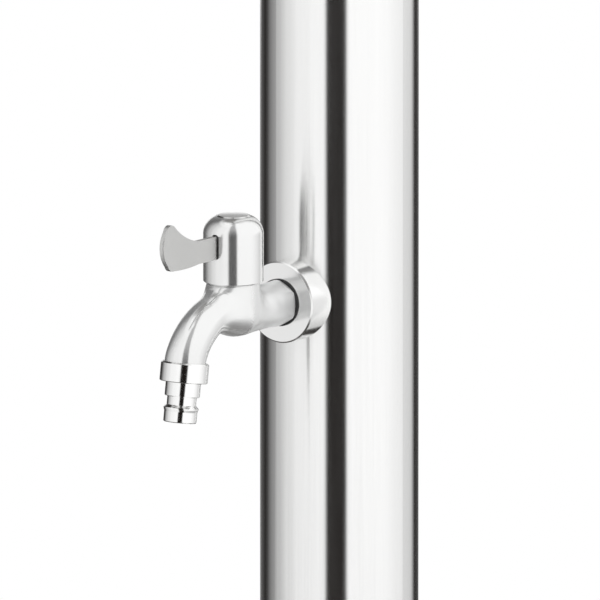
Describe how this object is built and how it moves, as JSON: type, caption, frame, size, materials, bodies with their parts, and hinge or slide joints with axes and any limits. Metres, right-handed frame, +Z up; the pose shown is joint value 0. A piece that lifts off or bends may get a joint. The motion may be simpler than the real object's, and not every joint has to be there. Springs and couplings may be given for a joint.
{
  "type": "outdoor shower post",
  "caption": "Tall round steel shower column on a floor plate, with a curved hose tap low down, a lever shower valve and a tilting round rain head on a bent arm.",
  "frame": {"origin": "centre of the base plate's underside, on the floor", "axes": "+Z up along the column; -Y is the front, where the tap, the shower valve and the arm point; +X is to the right of someone looking along +Y"},
  "size_m": [0.24, 0.55, 2.205],
  "materials": {
    "polished_steel": "fine polished stainless steel",
    "brushed_steel": "brushed stainless steel",
    "satin_steel": "satin, bead blasted",
    "chrome": "mirror chrome on brass",
    "brass": "machined",
    "black_rubber": "moulded, matte",
    "silicone": "soft grey silicone",
    "white_plastic": "low friction plastic",
    "ceramic": "lapped ceramic"
  },
  "bodies": {
    "post": {"base_plate": "brushed_steel", "post_socket": "brushed_steel", "socket_screws": "brushed_steel", "foot_rosette": "brushed_steel", "post_tube": "polished_steel", "top_cap": "polished_steel", "top_cap_ring": "black_rubber", "supply_inlet": "brass", "riser_lower": "brushed_steel", "tap_tee": "brass", "riser_middle": "brushed_steel", "shower_fitting": "brass", "riser_upper": "brushed_steel", "arm_elbow": "brass", "tap_flange": "polished_steel", "tap_washer": "black_rubber", "tap_body": "chrome", "tap_seal": "black_rubber", "tap_fixed_disc": "ceramic", "tap_cartridge": "brass", "hose_collar": "chrome", "hose_washer": "black_rubber", "hose_tail": "chrome", "shower_flange": "polished_steel", "shower_washer": "black_rubber", "shower_valve_neck": "chrome", "shower_seal": "black_rubber", "shower_fixed_disc": "ceramic", "shower_cartridge": "brass", "arm_flange": "polished_steel", "arm_washer": "black_rubber", "arm_pipe": "polished_steel", "arm_nut": "chrome", "swivel_ball": "chrome"},
    "tap_grip": {"tap_handle": "chrome", "tap_lever": "satin_steel", "tap_lever_pin": "brushed_steel", "tap_screw": "brushed_steel", "tap_button": "chrome", "tap_spindle": "brass", "tap_clip": "brushed_steel", "tap_moving_disc": "ceramic"},
    "shower_grip": {"shower_handle": "chrome", "shower_lever": "satin_steel", "shower_lever_pin": "brushed_steel", "shower_screw": "brushed_steel", "shower_button": "chrome", "shower_spindle": "brass", "shower_clip": "brushed_steel", "shower_moving_disc": "ceramic"},
    "swivel": {"swivel_seat": "white_plastic"},
    "head": {"swivel_nut": "chrome", "head_shell": "polished_steel", "head_gasket": "black_rubber", "nozzle_mat": "silicone", "spray_plate": "brushed_steel", "head_screws": "brushed_steel"}
  },
  "joints": [
    {"name": "tap_turn", "type": "hinge", "parent": "post", "child": "tap_grip", "pos_m": [0, -0.0879, 0.53], "axis": [0, 0, 1], "range_deg": [0, 90]},
    {"name": "shower_turn", "type": "hinge", "parent": "post", "child": "shower_grip", "pos_m": [0, -0.0761, 1.1], "axis": [0, -1, 0], "range_deg": [0, 90]},
    {"name": "head_spin", "type": "hinge", "parent": "post", "child": "swivel", "pos_m": [0, -0.33, 2.036], "axis": [0, 0, 1], "continuous": true},
    {"name": "head_tilt", "type": "hinge", "parent": "swivel", "child": "head", "pos_m": [0, -0.33, 2.036], "axis": [1, 0, 0], "range_deg": [-15, 15]}
  ]
}
